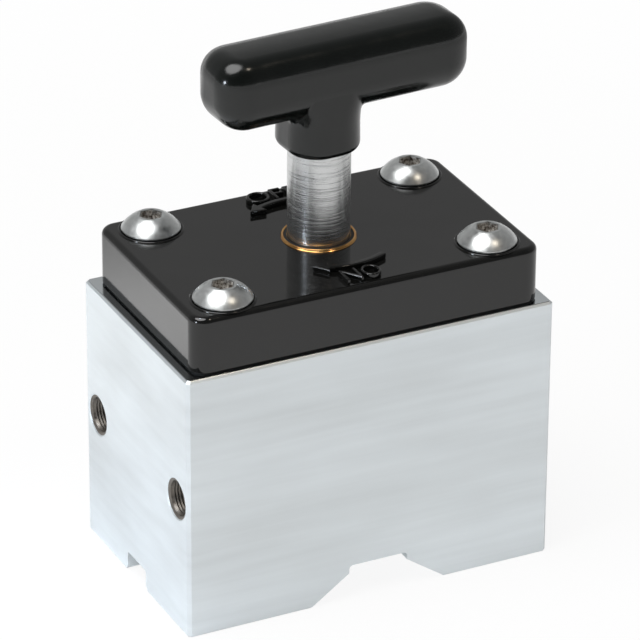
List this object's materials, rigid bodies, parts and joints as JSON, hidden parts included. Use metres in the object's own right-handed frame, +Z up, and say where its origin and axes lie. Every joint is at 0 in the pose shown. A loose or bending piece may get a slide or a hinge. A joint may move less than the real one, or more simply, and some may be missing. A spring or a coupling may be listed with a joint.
{
  "type": "switchable magnet welding square",
  "caption": "Switchable magnet block with a V-grooved steel body, a black cap and a T-handle that turns the inner magnet half a turn to hold work for welding.",
  "frame": {"origin": "centre of the body's footprint, on the plane of the pole faces", "axes": "+X along the body's long side, +Y across it away from the side shown in front, +Z up along the shaft"},
  "size_m": [0.094, 0.0576, 0.1323],
  "materials": {
    "plated_steel": "ground steel with bright nickel plating",
    "magnet_plating": "nickel-plated magnet",
    "hardened_steel": "ground hardened steel",
    "stainless_sheet": "rolled stainless sheet",
    "carrier_alloy": "turned aluminium",
    "bronze": "turned sintered bronze",
    "black_rubber": "black nitrile rubber",
    "cap_plastic": "glossy black moulded plastic",
    "grip_plastic": "glossy black moulded grip",
    "stainless_screw": "bright stainless steel",
    "turned_steel": "turned steel with fine lathe rings"
  },
  "bodies": {
    "housing": {"steel_body": "plated_steel", "lower_magnet": "magnet_plating", "lower_magnet_keys": "hardened_steel", "magnet_separator": "stainless_sheet", "bearing_plate": "carrier_alloy", "plate_dowels": "hardened_steel", "stop_pin": "hardened_steel", "shaft_bush": "bronze", "cap_gasket": "black_rubber", "top_cap": "cap_plastic", "cap_screw_washers": "black_rubber", "cap_screws": "stainless_screw"},
    "rotor": {"upper_magnet": "magnet_plating", "magnet_carrier": "carrier_alloy", "thrust_washer": "bronze", "shaft_key": "hardened_steel", "carrier_retaining_ring": "hardened_steel", "drive_shaft": "turned_steel", "shaft_seal": "black_rubber", "handle_rod": "hardened_steel", "rod_lock_screw": "hardened_steel", "handle_grip": "grip_plastic"}
  },
  "joints": [
    {"name": "switch_turn", "type": "hinge", "parent": "housing", "child": "rotor", "pos_m": [0, 0, 0.07], "axis": [0, 0, 1], "range_deg": [-180, 0]}
  ]
}
